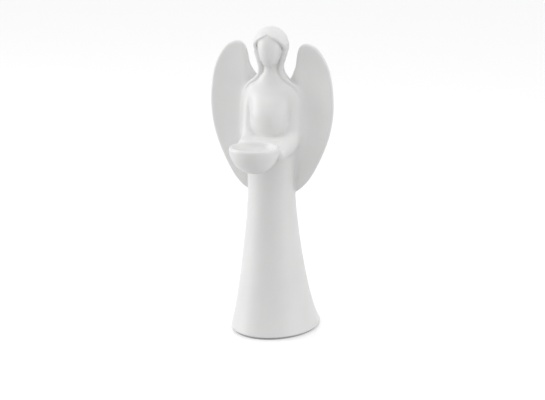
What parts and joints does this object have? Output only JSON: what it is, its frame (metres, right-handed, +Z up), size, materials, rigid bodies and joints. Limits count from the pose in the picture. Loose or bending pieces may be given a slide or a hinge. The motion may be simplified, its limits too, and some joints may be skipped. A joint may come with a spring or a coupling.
{
  "type": "angel figurine with tealight bowl",
  "caption": "Free-standing faceless angel in a long flared gown, with cupped wings and hair falling to the shoulders, holding out a round bowl that takes a tealight.",
  "frame": {"origin": "on the surface that the figure stands on, straight below its neck", "axes": "+Z up, -Y towards the viewer that the figure faces, +X towards its left hand"},
  "size_m": [0.132, 0.1577, 0.32],
  "materials": {
    "resin": "satin white, softly glossy",
    "pins": "plain drawn wire",
    "plaster": "rough cast plaster",
    "plug": "matt",
    "felt": "pressed wool felt"
  },
  "bodies": {
    "root": {"gown": "resin", "head": "resin", "hair": "resin", "bowl": "resin", "left_arm": "resin", "right_arm": "resin", "left_wing": "resin", "right_wing": "resin", "base_plate": "resin", "neck_pin": "pins", "bowl_pin": "pins", "left_arm_pin": "pins", "right_arm_pin": "pins", "left_wing_upper_pin": "pins", "right_wing_upper_pin": "pins", "left_wing_lower_pin": "pins", "right_wing_lower_pin": "pins", "ballast": "plaster", "fill_plug": "plug", "felt_pad": "felt"}
  },
  "joints": []
}
